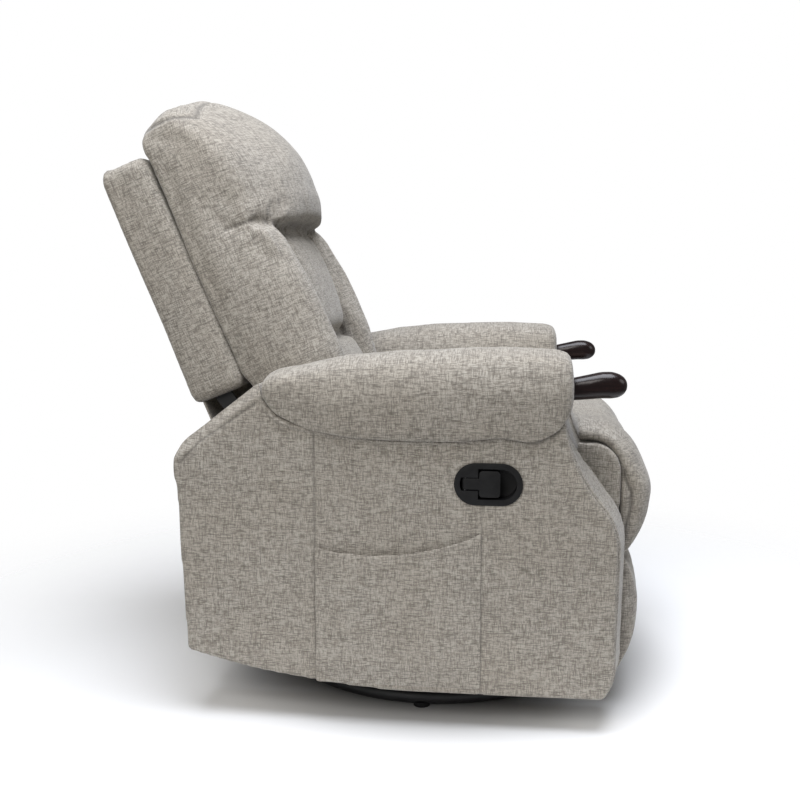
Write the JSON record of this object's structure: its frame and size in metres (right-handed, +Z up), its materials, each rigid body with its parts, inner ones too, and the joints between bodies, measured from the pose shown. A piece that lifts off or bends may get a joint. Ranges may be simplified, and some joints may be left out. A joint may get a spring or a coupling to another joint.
{
  "type": "swivel rocker recliner",
  "caption": "Padded recliner on a round swivel base: it rocks, turns, leans back and folds out a footrest, with wooden hand grips, a side pocket and a recessed release lever.",
  "frame": {"origin": "on the floor, on the swivel axis", "axes": "+Z up, the chair faces -Y, the sitter's left hand is at +X"},
  "size_m": [0.796, 0.9254, 1.0478],
  "materials": {
    "woven_cloth": "matte woven",
    "polished_wood": "gloss",
    "frame_wood": "sawn",
    "black_plastic": "matte",
    "elastic_web": "matte",
    "black_steel": "satin",
    "bright_steel": "satin"
  },
  "bodies": {
    "base": {"base_ring": "black_steel", "base_spokes": "black_steel", "floor_glides": "black_plastic", "swivel_lower_plate": "black_steel", "swivel_post": "bright_steel", "bearing_balls": "bright_steel"},
    "turntable": {"swivel_upper_plate": "black_steel", "rocker_cradle": "black_steel", "rocker_shaft": "bright_steel", "rocker_springs": "bright_steel"},
    "chassis": {"rocker_yoke": "black_steel", "arm_bolts": "bright_steel", "mechanism_rails": "black_steel", "cross_tubes": "black_steel", "arm_cleats": "frame_wood", "arm_knuckle_left": "polished_wood", "arm_knuckle_right": "polished_wood", "arm_top_boards": "frame_wood", "arm_pad_left": "woven_cloth", "arm_pad_right": "woven_cloth", "outer_arm_panel_left": "woven_cloth", "outer_arm_panel_right": "woven_cloth", "inner_arm_panels": "woven_cloth", "arm_front_strips": "woven_cloth", "arm_rear_strips": "woven_cloth", "arm_frames": "frame_wood", "rear_rail": "frame_wood", "rear_valance": "woven_cloth", "side_pocket": "woven_cloth", "lever_pin": "bright_steel", "handle_bezel": "black_plastic"},
    "lever": {"release_lever": "black_plastic"},
    "seat": {"seat_pivot_pins": "bright_steel", "seat_plates": "black_steel", "torque_tube": "black_steel", "seat_runners": "black_plastic", "seat_rails": "frame_wood", "seat_fascia": "frame_wood", "seat_webbing": "elastic_web", "seat_box": "woven_cloth", "seat_front_roll": "woven_cloth", "seat_cushion": "woven_cloth"},
    "back": {"back_posts": "frame_wood", "back_rails": "frame_wood", "back_brackets": "black_steel", "outer_back_panel": "woven_cloth", "headrest_pillow": "woven_cloth", "back_bolster_left": "woven_cloth", "back_bolster_right": "woven_cloth", "lumbar_pad_upper": "woven_cloth", "lumbar_pad_lower": "woven_cloth", "back_skirt": "woven_cloth"},
    "lower_links": {"footrest_lower_links": "black_steel", "footrest_knee_pins": "bright_steel"},
    "upper_links": {"footrest_upper_links": "black_steel"},
    "footrest": {"footrest_pins": "bright_steel", "footrest_brackets": "black_steel", "footrest_board": "frame_wood", "footrest_pad": "woven_cloth"}
  },
  "joints": [
    {"name": "swivel", "type": "hinge", "parent": "base", "child": "turntable", "pos_m": [0, 0, 0], "axis": [0, 0, 1], "continuous": true},
    {"name": "rock", "type": "hinge", "parent": "turntable", "child": "chassis", "pos_m": [0, 0, 0.112], "axis": [-1, 0, 0], "range_deg": [-5, 10], "stiffness_Nm_per_rad": 900, "deforming": ["rocker_springs"]},
    {"name": "release_lever", "type": "hinge", "parent": "chassis", "child": "lever", "pos_m": [-0.3665, -0.074, 0.4045], "axis": [0, 0, -1], "range_deg": [0, 30], "stiffness_Nm_per_rad": 0.3},
    {"name": "seat_glide", "type": "slide", "parent": "chassis", "child": "seat", "axis": [0, -1, 0], "range_m": [0, 0.055]},
    {"name": "back_recline", "type": "hinge", "parent": "seat", "child": "back", "pos_m": [0, 0.2, 0.33], "axis": [-1, 0, 0], "range_deg": [0, 35]},
    {"name": "footrest_swing", "type": "hinge", "parent": "seat", "child": "lower_links", "pos_m": [0, -0.2, 0.3], "axis": [-1, 0, 0], "range_deg": [0, 77]},
    {"name": "footrest_fold", "type": "hinge", "parent": "lower_links", "child": "upper_links", "pos_m": [0, -0.15162, 0.10594], "axis": [-1, 0, 0], "range_deg": [-98.7, 0]},
    {"name": "footrest_tilt", "type": "hinge", "parent": "upper_links", "child": "footrest", "pos_m": [0, -0.28362, 0.25619], "axis": [-1, 0, 0], "range_deg": [0, 101.7]}
  ],
  "couplings": [
    {"joint": "seat_glide", "follows": "back_recline", "m_per_rad": 0.090036},
    {"joint": "footrest_fold", "follows": "footrest_swing", "ratio": -1.2818},
    {"joint": "footrest_tilt", "follows": "footrest_swing", "ratio": 1.3208}
  ]
}
